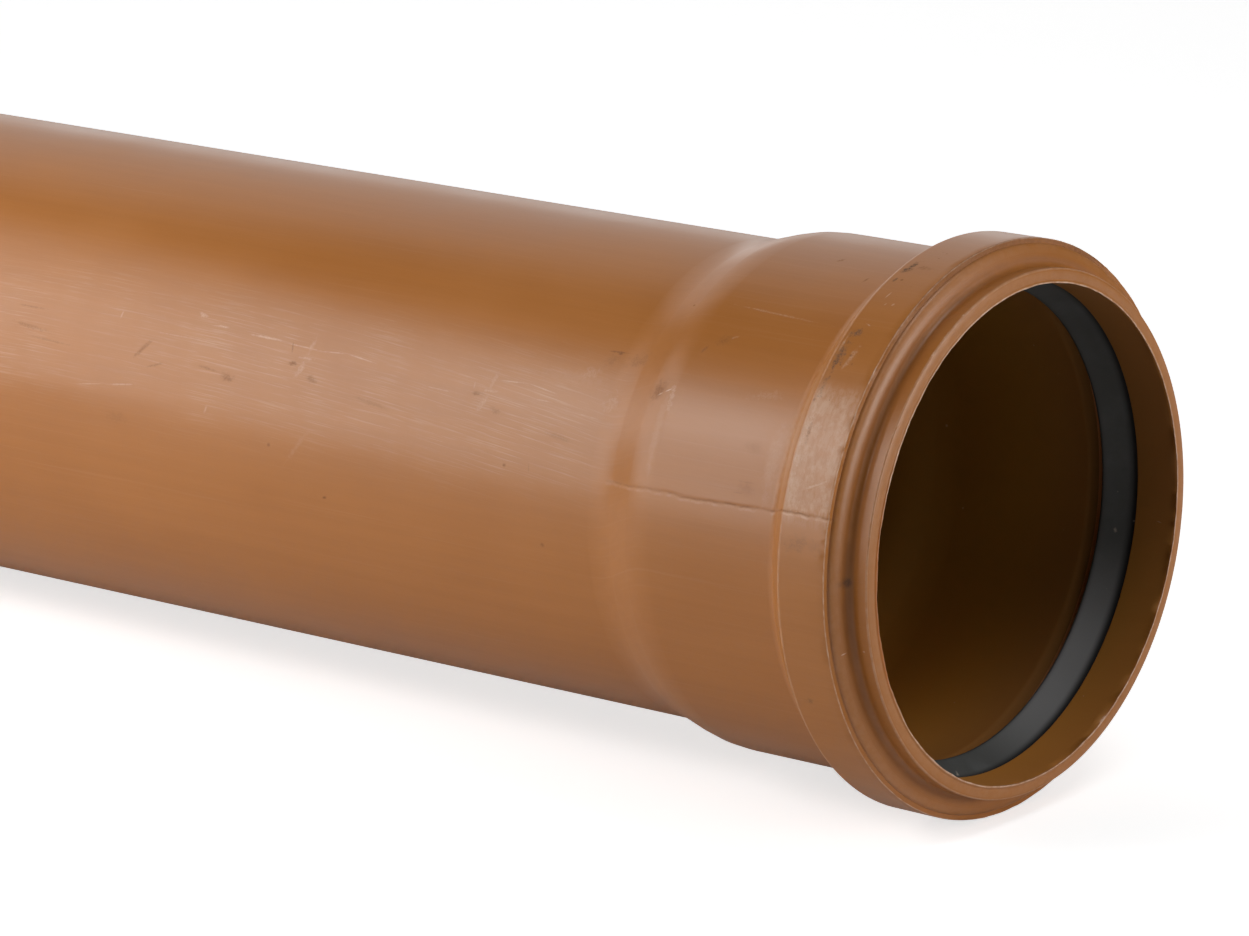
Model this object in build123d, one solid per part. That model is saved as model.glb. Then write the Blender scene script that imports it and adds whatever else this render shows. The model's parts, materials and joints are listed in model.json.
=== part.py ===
from build123d import *
from math import atan2, cos, degrees, radians, sin, tan
import os

# A plastic drain pipe with a formed push-fit socket and its rubber seal, lying on its side.
# Both pieces are turned about the X axis. Stations are measured back from the mouth,
# along the pipe, and radii out from its axis. Everything is in millimetres.

# Barrel
barrel_diameter = 110.0
barrel_wall = 3.2
laying_length = 500.0

# Chamfered spigot end
chamfer_length = 6.0
chamfer_angle = 15.0

# Socket
socket_play = 1.0
socket_wall = 3.35
insertion_depth = 71.0
stop_in_flare = 7.2
flare_angle = 16.4
flare_rounding = 15.0

# Lip round the mouth, in front of the bead
lip_wall = 3.2
lip_lean = 0.7
lip_rounding = 0.7
lip_length = 5.6

# Bead that holds the seal
bead_height = 5.65
bead_front = 7.6
band_width = 12.5
band_taper = 0.1
band_step = 1.2
shoulder_width = 1.6
shoulder_rounding = 1.6
flank_angle = 45.0
flank_top_rounding = 1.0
flank_foot_rounding = 2.0

# Groove inside the bead
bead_wall = 3.2
land_length = 11.0

# Rubber seal
seal_gap = 0.3
seal_squeeze = 2.2
seal_foot_height = 1.0
seal_lip_thickness = 1.7
seal_lip_reach = 8.2
seal_tip_slant = 0.35
seal_fold_depth = 4.3

# Radii and stations that follow from the sizes above
barrel_radius = barrel_diameter / 2
barrel_bore_radius = barrel_radius - barrel_wall
socket_bore_radius = (barrel_diameter + socket_play) / 2
socket_radius = socket_bore_radius + socket_wall
lip_radius = socket_bore_radius + lip_wall
bead_radius = socket_radius + bead_height
band_back = bead_front + band_width
band_back_radius = bead_radius - band_taper
groove_radius = bead_radius - bead_wall
overall_length = laying_length + insertion_depth
flare_start = insertion_depth - stop_in_flare


def along_slope(rise, angle):
    """Length along the axis in which a slope of this angle rises or falls by this much."""
    return rise / tan(radians(angle))


def turned(corners):
    """A ring turned about the X axis. Each corner is its station, its radius and its rounding."""
    outline = [(-station, radius) for station, radius, _ in corners]
    roundings = [rounding for _, _, rounding in corners]
    with BuildPart() as ring:
        with BuildSketch(Plane.XZ):
            with BuildLine():
                FilletPolyline(outline, radius=roundings, close=True)
            make_face()
        revolve(axis=Axis.X)
    return ring.part


def pipe_corners():
    """Section of the pipe's wall: along the outside from the mouth, and back along the inside."""
    flank_foot = band_back + along_slope(band_back_radius - socket_radius, flank_angle)
    flare_end = flare_start + along_slope(socket_radius - barrel_radius, flare_angle)
    flare_bore_end = flare_start + along_slope(socket_bore_radius - barrel_bore_radius, flare_angle)
    chamfer_drop = chamfer_length * tan(radians(chamfer_angle))
    outside = [
        (0.0, socket_bore_radius, 0),
        (lip_lean, lip_radius, lip_rounding),
        (lip_length, lip_radius, 0),
        (bead_front - shoulder_width, bead_radius - band_step, shoulder_rounding),
        (bead_front, bead_radius - band_step, 0),
        (bead_front, bead_radius, 0),
        (band_back, band_back_radius, flank_top_rounding),
        (flank_foot, socket_radius, flank_foot_rounding),
        (flare_start, socket_radius, flare_rounding),
        (flare_end, barrel_radius, flare_rounding),
        (overall_length - chamfer_length, barrel_radius, 0),
        (overall_length, barrel_radius - chamfer_drop, 0),
    ]
    inside = [
        (overall_length, barrel_bore_radius, 0),
        (flare_bore_end, barrel_bore_radius, flare_rounding),
        (flare_start, socket_bore_radius, flare_rounding),
        (groove_flank_station(socket_bore_radius), socket_bore_radius, 0),
        (groove_flank_station(groove_radius), groove_radius, 0),
        (land_length, groove_radius, 0),
        (land_length, socket_bore_radius, 0),
    ]
    return outside + inside


def groove_flank_station(radius):
    """Station of the groove's sloping back wall at a radius. It lies one wall inside the bead's flank."""
    wall_along_axis = bead_wall / sin(radians(flank_angle))
    return band_back - wall_along_axis + along_slope(band_back_radius - radius, flank_angle)


def seal_corners():
    """Section of the seal: its body in the groove, and the lip that leans in and back from it."""
    front = land_length + seal_gap
    body_radius = groove_radius - seal_gap
    gap_along_axis = seal_gap / sin(radians(flank_angle))
    body_back = groove_flank_station(body_radius) - gap_along_axis
    body_foot = socket_bore_radius + seal_foot_height
    heel = body_foot + seal_lip_thickness
    heel_station = groove_flank_station(heel) - gap_along_axis
    tip_radius = barrel_radius - seal_squeeze
    tip = front + seal_lip_reach
    return [
        (front, body_foot, 0),
        (front, body_radius, 0),
        (body_back, body_radius, 0),
        (heel_station, heel, 0),
        (front + seal_fold_depth, heel, 0),
        (tip, tip_radius + seal_lip_thickness, 0),
        (tip - seal_tip_slant, tip_radius, 0),
    ]


# At rest the pipe touches the floor with the back edge of the bead's band and with the end of
# the barrel, so the mouth's end stands a little higher than the spigot's.
rest_tilt = degrees(atan2(band_back_radius - barrel_radius, overall_length - chamfer_length - band_back))
lying = Rotation(0, -rest_tilt, 0)
pipe = lying * turned(pipe_corners())
seal_ring = lying * turned(seal_corners())

# The origin is on the floor, under the middle of the pipe.
extent = pipe.bounding_box()
to_origin = Location((-extent.center().X, -extent.center().Y, -extent.min.Z))

os.makedirs("parts", exist_ok=True)
for name, piece in (("pipe", pipe), ("seal_ring", seal_ring)):
    export_step(to_origin * piece, f"parts/{name}.step")

print("rest tilt", round(rest_tilt, 4))
print("mouth centre", to_origin.position)
print("overall", extent.size)
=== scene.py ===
import json
import logging
from dataclasses import dataclass
from enum import Enum
from math import acos, atan2, ceil, cos, pi, radians, sin, tan

import bpy
from mathutils import Matrix, Vector


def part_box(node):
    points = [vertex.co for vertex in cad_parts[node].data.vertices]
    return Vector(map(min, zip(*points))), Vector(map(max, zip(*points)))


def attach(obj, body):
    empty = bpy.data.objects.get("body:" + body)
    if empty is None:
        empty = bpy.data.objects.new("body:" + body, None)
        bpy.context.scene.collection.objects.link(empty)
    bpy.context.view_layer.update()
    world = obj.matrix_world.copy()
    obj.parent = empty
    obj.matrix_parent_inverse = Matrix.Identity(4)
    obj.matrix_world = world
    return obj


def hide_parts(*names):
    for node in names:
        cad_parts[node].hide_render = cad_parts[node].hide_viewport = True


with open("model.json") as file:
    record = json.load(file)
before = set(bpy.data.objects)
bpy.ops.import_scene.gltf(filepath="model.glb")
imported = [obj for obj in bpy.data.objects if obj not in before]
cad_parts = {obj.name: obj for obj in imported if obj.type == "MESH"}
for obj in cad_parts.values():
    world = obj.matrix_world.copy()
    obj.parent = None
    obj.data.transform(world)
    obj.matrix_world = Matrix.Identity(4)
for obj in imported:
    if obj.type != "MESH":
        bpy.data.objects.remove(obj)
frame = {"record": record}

log = logging.getLogger("drain_pipe")

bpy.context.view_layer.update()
MM = 0.001
Colour = tuple[float, float, float, float]
WHITE: Colour = (1.0, 1.0, 1.0, 1.0)

# Angle of the moulding seam on the band, and the stretches on which it drifts from there: start
# and end station, and turn in degrees.
SEAM_ANGLE = 75.9
SEAM_DRIFT = ((21.0, 27.0, 1.0), (30.0, 52.0, 0.7), (52.0, 53.5, -0.4), (62.0, 66.0, 0.3))

# Stations run back from the socket's mouth along the pipe's axis, and radii out from that axis.
# Angles run round the axis, from the top of the pipe towards the side that faces -Y.


class Side(Enum):
    """Which surface a mark belongs to."""

    OUTSIDE = "outside"
    INSIDE = "inside"
    RUBBER = "rubber"


class Kind(Enum):
    """Socket types of a node group."""

    NUMBER = "NodeSocketFloat"
    WHOLE = "NodeSocketInt"
    VECTOR = "NodeSocketVector"
    GEOMETRY = "NodeSocketGeometry"
    MATERIAL = "NodeSocketMaterial"


def new_object(name: str, data: bpy.types.ID) -> bpy.types.Object:
    """Makes an object and puts it in the scene.

    Args:
        name: Its name.
        data: Its mesh, lamp or camera.

    Returns:
        The object, at the origin.
    """
    made = bpy.data.objects.new(name, data)
    bpy.context.scene.collection.objects.link(made)
    return made


@dataclass(frozen=True)
class Axis:
    """The pipe's own axis in the frame.

    Attributes:
        mouth: Centre of the socket's mouth, in metres.
        rise: Angle by which the axis rises towards the mouth, in radians.
    """

    mouth: Vector
    rise: float

    @classmethod
    def from_frame(cls, record: dict) -> "Axis":
        """Works the axis out from the mount at the socket's mouth.

        Args:
            record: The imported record.

        Returns:
            The axis, with the mouth at the open end of the mount's wall.
        """
        mount = next(m for m in record["mounts"] if m["name"] == "socket_mouth")
        direction = Vector(mount["axis"]).normalized()
        half_wall = mount["dims"]["length_mm"] * MM / 2
        mouth = Vector(mount["pos_m"]) + direction * half_wall
        return cls(mouth, atan2(direction.z, direction.x))


@dataclass(frozen=True)
class Corner:
    """One corner of a section that is turned about the axis.

    Attributes:
        station: Distance back from the mouth, in millimetres.
        radius: Distance from the axis, in millimetres.
        rounding: Radius that rounds the corner, in millimetres.
        wear: How far the corner is rubbed pale, from 0 to 1.
        burr: How far the corner wanders as the trimmed edge of the mouth does, from 0 to 1.
        flash: How far the corner wanders as the moulded edge of the band does, from 0 to 1.
        seam: How high the moulding seam stands on the stretch after the corner, from 0 to 1.
        step: Longest distance between two section points on that stretch, in millimetres.
    """

    station: float
    radius: float
    rounding: float
    wear: float = 0.0
    burr: float = 0.0
    flash: float = 0.0
    seam: float = 0.0
    step: float = 40.0


class Section:
    """A closed section whose rounded corners are divided finely enough for smooth shading.

    Attributes:
        TRAITS: Traits of a corner that its points carry.
        ARC_STEP: Largest turn between two points of a rounding, in radians.
        GUARD: Distance of the first and last point of a stretch from its ends, in millimetres.
        STRAIGHT: Turn under which a corner is left sharp, in radians.
    """

    TRAITS = ("wear", "burr", "flash", "seam")
    ARC_STEP = radians(18)
    GUARD = 0.12
    STRAIGHT = 0.01

    def __init__(self, corners: list[Corner]) -> None:
        """Rounds and divides a run of corners.

        Args:
            corners: The section's corners, in order.
        """
        self.corners = corners
        self.points: list[tuple[float, float]] = []
        self.traits: dict[str, list[float]] = {trait: [] for trait in self.TRAITS}
        arcs = [self._arc(index) for index in range(len(corners))]
        for index, arc in enumerate(arcs):
            corner = corners[index]
            for place in arc:
                self._add(place, corner)
            self._divide(arc[-1], arcs[(index + 1) % len(arcs)][0], corner)

    def _arc(self, index: int) -> list[Vector]:
        """Points of one rounded corner.

        Args:
            index: The corner's place in the section.

        Returns:
            Points from where the rounding starts to where it ends.
        """
        count = len(self.corners)
        before, corner, after = (self.corners[(index + turn) % count] for turn in (-1, 0, 1))
        here = Vector((corner.station, corner.radius))
        back = (Vector((before.station, before.radius)) - here).normalized()
        ahead = (Vector((after.station, after.radius)) - here).normalized()
        opening = acos(max(-1.0, min(1.0, back.dot(ahead))))
        if not corner.rounding or opening > pi - self.STRAIGHT:
            return [here]
        reach = corner.rounding / tan(opening / 2)
        centre = here + (back + ahead).normalized() * corner.rounding / sin(opening / 2)
        start = here + back * reach - centre
        sign = 1 if start.y * back.x - start.x * back.y > 0 else -1
        swing = sign * (pi - opening)
        parts = max(2, ceil(abs(swing) / self.ARC_STEP))
        return [centre + Matrix.Rotation(swing * n / parts, 2) @ start for n in range(parts + 1)]

    def _add(self, place: Vector, corner: Corner) -> None:
        """Adds one point with the traits of a corner.

        Args:
            place: Station and radius.
            corner: The corner.
        """
        self.points.append((place.x, place.y))
        for trait in self.TRAITS:
            self.traits[trait].append(getattr(corner, trait))

    def _divide(self, start: Vector, end: Vector, corner: Corner) -> None:
        """Divides the straight stretch after a corner.

        Args:
            start: End of the corner's rounding.
            end: Start of the next corner's rounding.
            corner: The corner before the stretch.
        """
        run = end - start
        if run.length < 3 * self.GUARD:
            return
        inner = run.length - 2 * self.GUARD
        count = max(1, ceil(inner / corner.step))
        plain = Corner(0, 0, 0, seam=corner.seam)
        for n in range(count + 1):
            self._add(start + run.normalized() * (self.GUARD + inner * n / count), plain)

    def as_object(self, name: str) -> bpy.types.Object:
        """Makes a wire object of the section, with its traits as attributes.

        Args:
            name: Name of the object.

        Returns:
            The wire object, in metres, with stations along -X and radii along Z.
        """
        mesh = bpy.data.meshes.new(name)
        places = [(-station * MM, 0.0, radius * MM) for station, radius in self.points]
        count = len(places)
        mesh.from_pydata(places, [(n, (n + 1) % count) for n in range(count)], [])
        for trait, values in self.traits.items():
            mesh.attributes.new(trait, "FLOAT", "POINT").data.foreach_set("value", values)
        return new_object(name, mesh)


class Signal:
    """An output in a node tree that can stand in a sum as a plain number does."""

    def __init__(self, sheet: "Sheet", socket: bpy.types.NodeSocket) -> None:
        """Keeps the output and the sheet of its tree."""
        self.sheet, self.socket = sheet, socket

    def __add__(self, other: object) -> "Signal":
        """Adds a number or an output."""
        return self.sheet.math("ADD", self, other)

    def __mul__(self, other: object) -> "Signal":
        """Multiplies by a number or an output."""
        return self.sheet.math("MULTIPLY", self, other)

    def __sub__(self, other: object) -> "Signal":
        """Takes a number or an output away."""
        return self.sheet.math("SUBTRACT", self, other)

    def __rsub__(self, other: float) -> "Signal":
        """Takes this away from a number."""
        return self.sheet.math("SUBTRACT", other, self)

    def __truediv__(self, other: object) -> "Signal":
        """Divides by a number or an output."""
        return self.sheet.math("DIVIDE", self, other)

    def __gt__(self, other: object) -> "Signal":
        """Gives 1 where this is over a number or an output, and 0 elsewhere."""
        return self.sheet.math("GREATER_THAN", self, other)

    def __lt__(self, other: object) -> "Signal":
        """Gives 1 where this is under a number or an output, and 0 elsewhere."""
        return self.sheet.math("LESS_THAN", self, other)


class Sheet:
    """Short ways to add and join nodes in one tree."""

    def __init__(self, tree: bpy.types.NodeTree) -> None:
        """Keeps the tree that the nodes go into."""
        self.tree = tree

    def node(self, kind: str, feeds: object = (), **settings: object) -> bpy.types.Node:
        """Adds a node.

        Args:
            kind: The node's type.
            feeds: What goes into its inputs, in their order, or by name or place in a dictionary.
            settings: Values of the node's own properties.

        Returns:
            The new node.
        """
        made = self.tree.nodes.new(kind)
        for name, value in settings.items():
            setattr(made, name, value)
        for key, value in feeds.items() if isinstance(feeds, dict) else enumerate(feeds):
            self.feed(made.inputs[key], value)
        return made

    def out(self, kind: str, feeds: object = (), output: object = 0, **settings: object) -> Signal:
        """Adds a node for one of its outputs.

        Args:
            kind: The node's type.
            feeds: What goes into its inputs, in their order, or by name or place in a dictionary.
            output: Name or place of the output.
            settings: Values of the node's own properties.

        Returns:
            The output.
        """
        return Signal(self, self.node(kind, feeds, **settings).outputs[output])

    def outs(self, kind: str, feeds: object = (), **settings: object) -> dict[str, Signal]:
        """Adds a node for all of its outputs.

        Args:
            kind: The node's type.
            feeds: What goes into its inputs, in their order, or by name or place in a dictionary.
            settings: Values of the node's own properties.

        Returns:
            The outputs by name.
        """
        made = self.node(kind, feeds, **settings)
        return {socket.name: Signal(self, socket) for socket in made.outputs}

    def group(self, tree: bpy.types.NodeTree, values: tuple = ()) -> dict[str, Signal]:
        """Adds a node group with these inputs, in their order, and gives its outputs by name."""
        return self.outs("ShaderNodeGroup", values, node_tree=tree)

    def feed(self, socket: bpy.types.NodeSocket, value: object) -> None:
        """Links an output to a socket, or sets the socket to a plain value.

        Args:
            socket: The socket.
            value: The output or the value.
        """
        if isinstance(value, Signal):
            self.tree.links.new(value.socket, socket)
        else:
            socket.default_value = value

    def math(self, operation: str, *values: object) -> Signal:
        """Adds a sum of numbers or outputs, by the Math node's name for it."""
        return self.out("ShaderNodeMath", values, operation=operation)

    def vector(self, operation: str, *values: object) -> Signal:
        """Adds a sum of vectors, by the Vector Math node's name for it."""
        return self.out("ShaderNodeVectorMath", values, operation=operation)

    def combine(self, x: object, y: object = 0, z: object = 0) -> Signal:
        """Makes a vector of three numbers."""
        return self.out("ShaderNodeCombineXYZ", (x, y, z))

    def split(self, vector: object) -> list[Signal]:
        """Gives a vector's three numbers."""
        return list(self.outs("ShaderNodeSeparateXYZ", (vector,)).values())

    def most(self, first: object, *others: object) -> object:
        """Gives the largest of some numbers or outputs.

        Args:
            first: One of them.
            others: The others.

        Returns:
            The largest.
        """
        for other in others:
            first = self.math("MAXIMUM", first, other)
        return first

    def ramp(self, value: object, low: object, high: object, bottom: object = 0.0,
             top: object = 1.0, smooth: bool = True) -> Signal:
        """Turns a range of a number into another range.

        Args:
            value: The number.
            low: Where the range starts.
            high: Where the range ends.
            bottom: The result at its start.
            top: The result at its end.
            smooth: Whether the ends are eased.

        Returns:
            The result, kept between bottom and top.
        """
        return self.out("ShaderNodeMapRange", (value, low, high, bottom, top),
                        interpolation_type="SMOOTHSTEP" if smooth else "LINEAR")

    def window(self, value: object, low: float, high: float, soft: float) -> Signal:
        """Gives 1 between two limits and 0 outside them.

        Args:
            value: The number that is tested.
            low: Lower limit.
            high: Upper limit.
            soft: Width over which each limit fades.

        Returns:
            The mask.
        """
        rising = self.ramp(value, low - soft / 2, low + soft / 2)
        return rising * self.ramp(value, high - soft / 2, high + soft / 2, 1.0, 0.0)

    def noise(self, place: object, scale: object, detail: float = 2.0, roughness: float = 0.5,
              seed: object = 0.0) -> Signal:
        """Adds a noise.

        Args:
            place: Where the noise is read.
            scale: Its scale.
            detail: Number of finer layers.
            roughness: Strength of the finer layers.
            seed: Fourth coordinate, which sets the pattern.

        Returns:
            The noise, about 0.5 on average.
        """
        return self.out("ShaderNodeTexNoise", {
            "Vector": place, "W": seed, "Scale": scale, "Detail": detail,
            "Roughness": roughness}, noise_dimensions="4D")

    def blend(self, factor: object, first: object, second: object) -> Signal:
        """Mixes two colours, by the share of the second."""
        return self.out("ShaderNodeMix", {0: factor, 6: first, 7: second}, 2, data_type="RGBA")

    def bump(self, height: Signal, strength: float = 1.0) -> Signal:
        """Turns a height in millimetres into a normal."""
        return self.out("ShaderNodeBump", {"Strength": strength, "Distance": MM, "Height": height})

    def seen_directly(self) -> Signal:
        """Gives 1 to rays that come straight or through clear things from the camera."""
        rays = self.outs("ShaderNodeLightPath")
        return self.most(rays["Is Camera Ray"], rays["Is Transmission Ray"])


class Group(Sheet):
    """A node group that is being built."""

    def __init__(self, name: str, kind: str, inputs: dict[str, object],
                 outputs: dict[str, Kind]) -> None:
        """Starts the group.

        Args:
            name: Name of the group.
            kind: The tree's type.
            inputs: Default of each number, and the kind of each other input.
            outputs: Kind of each output.
        """
        super().__init__(bpy.data.node_groups.new(name, kind))
        sockets = self.tree.interface
        for label, value in inputs.items():
            plain = Kind.WHOLE if isinstance(value, int) else Kind.NUMBER
            socket_kind = value if isinstance(value, Kind) else plain
            made = sockets.new_socket(label, in_out="INPUT", socket_type=socket_kind.value)
            if socket_kind is not value:
                made.default_value = value
        for label, socket_kind in outputs.items():
            sockets.new_socket(label, in_out="OUTPUT", socket_type=socket_kind.value)
        given = self.outs("NodeGroupInput")
        self.given = {label: given[label] for label in inputs}
        self.result = self.node("NodeGroupOutput").inputs

    def finish(self, **results: Signal) -> bpy.types.NodeTree:
        """Joins the outputs.

        Args:
            results: What goes into each output, by its name.

        Returns:
            The finished tree.
        """
        for label, value in results.items():
            self.feed(self.result[label], value)
        return self.tree


def new_material(name: str) -> tuple[bpy.types.Material, Sheet, bpy.types.bpy_prop_collection]:
    """Starts a material.

    Args:
        name: Its name.

    Returns:
        The material, its sheet, and the inputs of its shader.
    """
    material = bpy.data.materials.new(name)
    material.use_nodes = True
    tree = material.node_tree
    return material, Sheet(tree), tree.nodes["Principled BSDF"].inputs


def seam_drift(sheet: Sheet, station: Signal) -> Signal:
    """Adds the drift of the moulding seam, which isn't quite straight along the pipe.

    Args:
        sheet: The tree's sheet.
        station: Distance back from the mouth, in millimetres.

    Returns:
        The angle to add to the seam's own, in degrees.
    """
    wander = sheet.noise(sheet.combine(station * 0.35), 1.0, 2, 0.5, 31.0)
    total = sheet.ramp(wander, 0.3, 0.7, -0.22, 0.22, smooth=False)
    for start, end, turn in SEAM_DRIFT:
        total = total + sheet.ramp(station, start, end, 0.0, turn, smooth=False)
    return total


class TurnedForm:
    """Geometry Nodes that turn a section about the pipe's axis, with its moulded irregularities.

    Attributes:
        CROWDING: How far the steps round the axis crowd together at the moulding seam.
        MERGE: Distance under which two points become one, in metres.
    """

    CROWDING = 0.36
    MERGE = 0.000002

    def __init__(self, axis: Axis) -> None:
        """Builds the tree once, for every turned piece.

        Args:
            axis: The pipe's axis.
        """
        self.settings = {
            "Seam Angle": radians(SEAM_ANGLE),
            "Seam Height": -0.11 * MM,
            "Seam Width": 0.42 * MM,
            "Burr": 0.16 * MM,
            "Flash": 0.14 * MM,
            "Mouth": axis.mouth,
            "Rise": axis.rise,
        }
        self.tree = self._build()

    def _build(self) -> bpy.types.NodeTree:
        """Builds the tree.

        Returns:
            The node tree.
        """
        sheet = Group("turned form", "GeometryNodeTree", {
            "Section": Kind.GEOMETRY, "Steps": 360, "Seed": 1.0, "Seam Angle": 1.3,
            "Seam Height": 0.0, "Seam Width": 0.001, "Burr": 0.0, "Flash": 0.0,
            "Mouth": Kind.VECTOR, "Rise": 0.0, "Finish": Kind.MATERIAL,
        }, {"Piece": Kind.GEOMETRY})
        sheet.tree.is_modifier = True
        given = sheet.given
        section, steps, seed = given["Section"], given["Steps"], given["Seed"]
        count = sheet.out("GeometryNodeAttributeDomainSize", (section,), "Point Count",
                          component="MESH")
        rows = count + 1
        grid = sheet.out("GeometryNodeMeshGrid", {"Vertices X": steps + 1, "Vertices Y": rows})
        index = sheet.out("GeometryNodeInputIndex")
        column = sheet.math("FLOOR", (index + 0.5) / rows)
        point = sheet.math("MODULO", sheet.math("ROUND", index - column * rows), count)

        def sampled(label: str | None) -> Signal:
            """Reads a trait of the section's point in this row.

            Args:
                label: Name of the trait, or None for the point's place.

            Returns:
                The trait or the place.
            """
            if label:
                value = sheet.out("GeometryNodeInputNamedAttribute", (label,), data_type="FLOAT")
            else:
                value = sheet.out("GeometryNodeInputPosition")
            return sheet.out("GeometryNodeSampleIndex",
                             {"Geometry": section, "Value": value, "Index": point},
                             data_type="FLOAT" if label else "FLOAT_VECTOR", domain="POINT")

        along, _, out = sheet.split(sampled(None))

        # The steps round the axis are closer together at the moulding seam and opposite it.
        even = column / steps * (2 * pi)
        from_seam = even - given["Seam Angle"]
        angle = even - sheet.math("SINE", from_seam * 2) * self.CROWDING
        sine, cosine = sheet.math("SINE", angle), sheet.math("COSINE", angle)

        # The moulding seam: a narrow uneven furrow on both sides of the pipe.
        seam_at = given["Seam Angle"] + sheet.math("RADIANS", seam_drift(sheet, along * (-1 / MM)))
        ratio = sheet.math("SINE", angle - seam_at) * out / given["Seam Width"]
        ridge = sheet.math("EXPONENT", ratio * ratio * -1)
        broken = sheet.noise(sheet.combine(along), 260, 3, 0.6, seed)
        uneven = sheet.ramp(broken, 0.32, 0.66, 0.0, 1.4)
        seam = sampled("seam") * given["Seam Height"] * (ridge * uneven)

        round_place = sheet.combine(sine, cosine)

        def ragged(scale: float, detail: float, offset: float) -> Signal:
            """Gives a wandering value round the axis, from about -1 to 1."""
            value = sheet.noise(round_place, scale, detail, 0.6, seed + offset)
            return sheet.ramp(value, 0.3, 0.7, -1.0, 1.0, smooth=False)

        burr = sampled("burr") * given["Burr"]
        flash = sampled("flash") * given["Flash"]
        back = burr * sheet.math("ABSOLUTE", ragged(9, 4, 3.0)) + flash * ragged(14, 5, 7.0)
        inwards = burr * ragged(7, 4, 11.0) + flash * sheet.math("ABSOLUTE", ragged(20, 4, 17.0))
        radius = out - inwards + seam
        lying = sheet.out("ShaderNodeVectorRotate", {
            "Vector": sheet.combine(along - back, sine * radius * -1, cosine * radius),
            "Angle": given["Rise"] * -1}, rotation_type="Y_AXIS")

        piece = sheet.out("GeometryNodeStoreNamedAttribute", {
            "Geometry": grid, "Name": "wear", "Value": sampled("wear")},
            data_type="FLOAT", domain="POINT")
        piece = sheet.out("GeometryNodeSetPosition", {
            "Geometry": piece, "Position": sheet.vector("ADD", lying, given["Mouth"])})
        piece = sheet.out("GeometryNodeMergeByDistance", {
            "Geometry": piece, "Distance": self.MERGE})
        piece = sheet.out("GeometryNodeFlipFaces", {"Mesh": piece})
        piece = sheet.out("GeometryNodeSetShadeSmooth", {"Geometry": piece})
        piece = sheet.out("GeometryNodeRealizeInstances", {"Geometry": piece})
        piece = sheet.out("GeometryNodeSetMaterial", {
            "Geometry": piece, "Material": given["Finish"]})
        return sheet.finish(Piece=piece)

    def turn(self, section: Section, name: str, steps: int, seed: float,
             finish: bpy.types.Material) -> bpy.types.Object:
        """Turns a section into a plain mesh.

        Args:
            section: The section.
            name: Name of the piece.
            steps: Number of steps round the axis.
            seed: Seed of the irregularities.
            finish: Material of the piece.

        Returns:
            The piece, at the origin, with its place in its mesh.
        """
        wire = section.as_object(name + "_section")
        modifier = wire.modifiers.new("turned form", "NODES")
        modifier.node_group = self.tree
        values = dict(self.settings, Steps=steps, Seed=seed, Finish=finish)
        for item in self.tree.interface.items_tree:
            if item.item_type == "SOCKET" and item.in_out == "INPUT" and item.name in values:
                modifier[item.identifier] = values[item.name]
        wire.update_tag()
        depsgraph = bpy.context.evaluated_depsgraph_get()
        depsgraph.update()
        mesh = bpy.data.meshes.new_from_object(wire.evaluated_get(depsgraph))
        mesh.name = name
        wire.modifiers.remove(modifier)
        bpy.data.objects.remove(wire)
        return new_object(name, mesh)


@dataclass(frozen=True)
class Mark:
    """A mark that the photograph shows.

    Attributes:
        station: Distance back from the mouth, in millimetres.
        angle: Angle round the axis, in degrees.
        length: Length, in millimetres.
        width: Width, in millimetres.
        turn: Angle of its length from the pipe's own direction, in degrees.
        strength: How clearly it shows, from 0 to 1.
        ragged: How broken it is, from 0 to 1.
        side: The surface that it is on.
    """

    station: float
    angle: float
    length: float
    width: float
    turn: float
    strength: float
    ragged: float
    side: Side = Side.OUTSIDE


@dataclass(frozen=True)
class Scratches:
    """Fine scratches that run nearly along the pipe.

    Attributes:
        length: Their length, in millimetres.
        width: Their width, in millimetres.
        amount: How many there are, from 0 to 1.
        strength: How clearly they show, from 0 to 1.
        slant: Lean from the pipe's direction at the mouth.
        bend: Change of the lean with each millimetre.
        seed: Sets the pattern.
    """

    length: float
    width: float
    amount: float
    strength: float
    slant: float = 0.17
    bend: float = -0.00033
    seed: float = 3.0


@dataclass(frozen=True)
class Patches:
    """Soft patches on a surface.

    Attributes:
        scale: Scale of their noise.
        detail: Number of its finer layers.
        roughness: Strength of the finer layers.
        seed: Sets the pattern.
        low: Noise at which a patch starts.
        high: Noise at which it is full.
        least: Value between the patches.
        full: Value in a patch.
    """

    scale: float
    detail: float
    roughness: float
    seed: float
    low: float
    high: float
    least: float
    full: float

    def mask(self, sheet: Sheet, place: Signal) -> Signal:
        """Gives the patches' value at a place."""
        noise = sheet.noise(place, self.scale, self.detail, self.roughness, self.seed)
        return sheet.ramp(noise, self.low, self.high, self.least, self.full)


@dataclass(frozen=True)
class Zone:
    """A part of a surface with soft limits.

    Attributes:
        stations: Its first and last station, and how softly it ends there, in millimetres.
        angles: Its first and last angle, and how softly it ends there, in degrees.
    """

    stations: tuple[float, float, float]
    angles: tuple[float, float, float]

    def mask(self, sheet: Sheet, where: dict[str, Signal]) -> Signal:
        """Gives 1 in the zone and 0 outside it."""
        station = sheet.window(where["Station"], *self.stations)
        return station * sheet.window(where["Angle"], *self.angles)


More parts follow.
